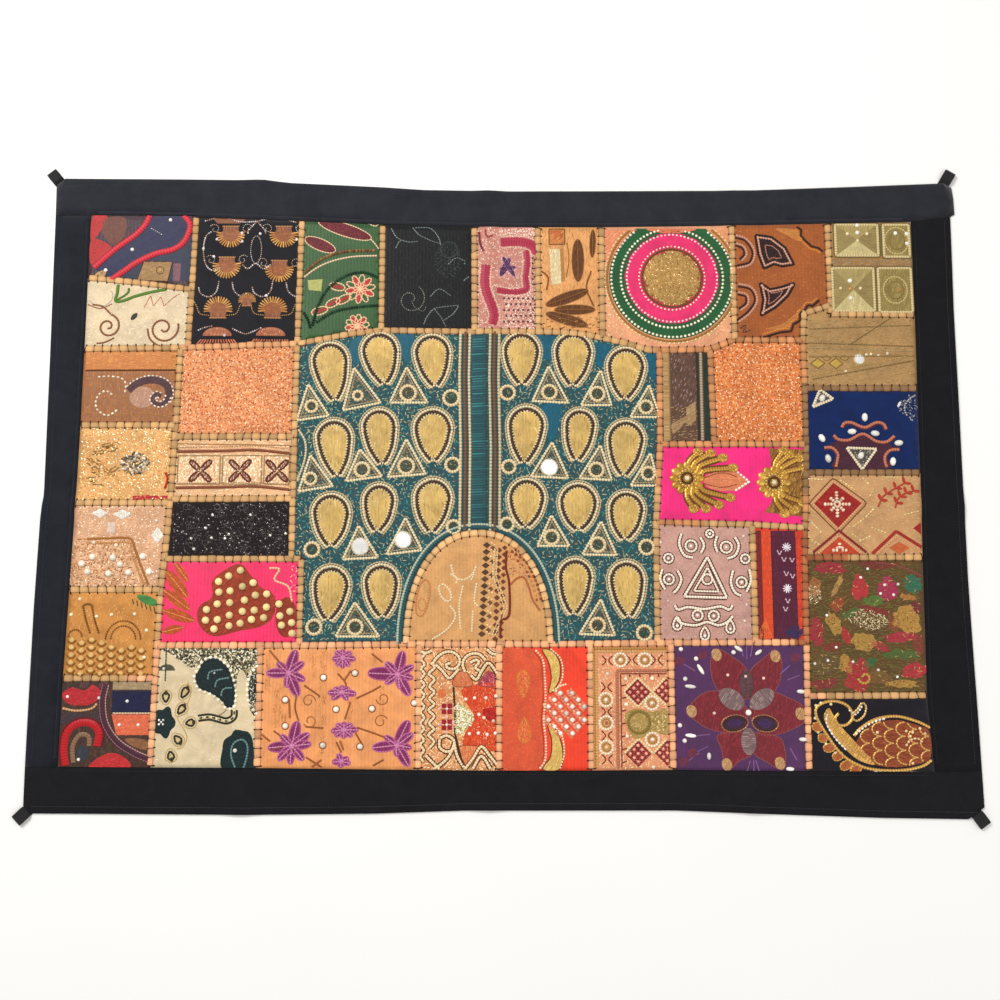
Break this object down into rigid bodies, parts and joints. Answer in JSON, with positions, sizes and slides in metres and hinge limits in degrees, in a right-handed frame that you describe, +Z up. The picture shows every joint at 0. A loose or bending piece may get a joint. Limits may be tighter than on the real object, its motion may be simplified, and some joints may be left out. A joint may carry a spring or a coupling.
{
  "type": "patchwork quilt",
  "caption": "Flat rectangular patchwork quilt of embroidered cloths with a black cotton border, braid couched over the seams and a tape loop at each corner.",
  "frame": {"origin": "on the surface that the cloth lies on, under the middle of its outline with the loops", "axes": "+X along the cloth's length, +Y along its height towards the edge with the plain flap, +Z up out of the face"},
  "size_m": [1.5394, 1.0898, 0.0094],
  "materials": {
    "black_cotton": "plain weave dyed cotton, matt, a little worn at the edges",
    "black_tape": "folded cotton tape, matt",
    "gold_braid": "flat zari braid, satin, couched with dark brown stitches",
    "cloth_corner_arcs": "cotton with cord-edged applique, matt",
    "cloth_cream_scroll": "cream cotton with couched cord scrolls, matt",
    "cloth_brown_scroll": "brown silk with chain stitch and metal thread",
    "cloth_gold_shimmer": "gold tissue with sequins, satin",
    "cloth_blush_diamond": "blush tissue with mirrors and metal thread",
    "cloth_ochre_dome": "ochre cotton with raised chain stitch",
    "cloth_corner_bands": "cotton with cord-edged applique, matt",
    "cloth_black_fans": "black cotton with silk fans and metal cord",
    "cloth_orange_seed_left": "orange cotton filled with seed stitch",
    "cloth_cream_cross": "printed cream cotton with stitched crosses",
    "cloth_black_sequin": "black net covered in sequins, glossy",
    "cloth_pink_dots": "pink satin with applique and raised dots",
    "cloth_cream_leaf": "cream cotton with dark leaf applique and beads",
    "cloth_green_floral": "green cotton with applique leaves and chain stitch",
    "cloth_black_vine": "black cotton with grey thread vine",
    "cloth_pink_band": "speckled pink cotton with a looping band",
    "cloth_tan_leaf": "tan cotton with applique leaves",
    "cloth_round_medallion": "peach cotton with a round applique and beads",
    "cloth_brown_paisley": "rust cotton with couched paisleys",
    "cloth_olive_pearl": "olive brocade with raised squares and beads",
    "cloth_olive_stripe": "olive tissue with bead lines",
    "cloth_blue_triangle": "blue cotton with beads and copper cord",
    "cloth_beige_diamond": "beige silk with red applique diamonds and gold beads",
    "cloth_green_leaf": "olive cotton filled with coloured embroidery",
    "cloth_black_paisley": "black cotton with a gold thread paisley",
    "cloth_dark_strip": "dark brocade strip with tan braid",
    "cloth_orange_seed_right": "orange cotton filled with seed stitch",
    "cloth_pink_sunflower": "pink satin with gold thread flowers",
    "cloth_lavender_cord": "lavender cotton with white cord",
    "cloth_striped_band": "striped satin with star stitches",
    "cloth_peach_flower": "peach cotton with purple embroidered flowers",
    "cloth_beige_ornament": "beige cotton with red and gold stitching",
    "cloth_orange_crescent": "orange satin with gold applique and beads",
    "cloth_cream_lattice": "cream cotton with a stitched lattice",
    "cloth_purple_flower": "purple satin with an embroidered flower and beads",
    "cloth_yoke": "teal silk filled with metal chain stitch and gold tissue drops",
    "cloth_arch": "tan cotton with faded embroidery"
  },
  "bodies": {
    "root": {"backing_cloth": "black_cotton", "border_top": "black_cotton", "border_bottom": "black_cotton", "border_left": "black_cotton", "border_right": "black_cotton", "patch_corner_arcs": "cloth_corner_arcs", "patch_cream_scroll": "cloth_cream_scroll", "patch_brown_scroll": "cloth_brown_scroll", "patch_gold_shimmer": "cloth_gold_shimmer", "patch_blush_diamond": "cloth_blush_diamond", "patch_ochre_dome": "cloth_ochre_dome", "patch_corner_bands": "cloth_corner_bands", "patch_black_fans": "cloth_black_fans", "patch_orange_seed_left": "cloth_orange_seed_left", "patch_cream_cross": "cloth_cream_cross", "patch_black_sequin": "cloth_black_sequin", "patch_pink_dots": "cloth_pink_dots", "patch_cream_leaf": "cloth_cream_leaf", "patch_green_floral": "cloth_green_floral", "patch_black_vine": "cloth_black_vine", "patch_pink_band": "cloth_pink_band", "patch_tan_leaf": "cloth_tan_leaf", "patch_round_medallion": "cloth_round_medallion", "patch_brown_paisley": "cloth_brown_paisley", "patch_olive_pearl": "cloth_olive_pearl", "patch_olive_stripe": "cloth_olive_stripe", "patch_blue_triangle": "cloth_blue_triangle", "patch_beige_diamond": "cloth_beige_diamond", "patch_green_leaf": "cloth_green_leaf", "patch_black_paisley": "cloth_black_paisley", "patch_dark_strip": "cloth_dark_strip", "patch_orange_seed_right": "cloth_orange_seed_right", "patch_pink_sunflower": "cloth_pink_sunflower", "patch_lavender_cord": "cloth_lavender_cord", "patch_striped_band": "cloth_striped_band", "patch_peach_flower": "cloth_peach_flower", "patch_beige_ornament": "cloth_beige_ornament", "patch_orange_crescent": "cloth_orange_crescent", "patch_cream_lattice": "cloth_cream_lattice", "patch_purple_flower": "cloth_purple_flower", "panel_yoke": "cloth_yoke", "panel_arch": "cloth_arch", "seam_braid": "gold_braid", "loop_top_left": "black_tape", "loop_top_right": "black_tape", "loop_bottom_left": "black_tape", "loop_bottom_right": "black_tape"}
  },
  "joints": []
}
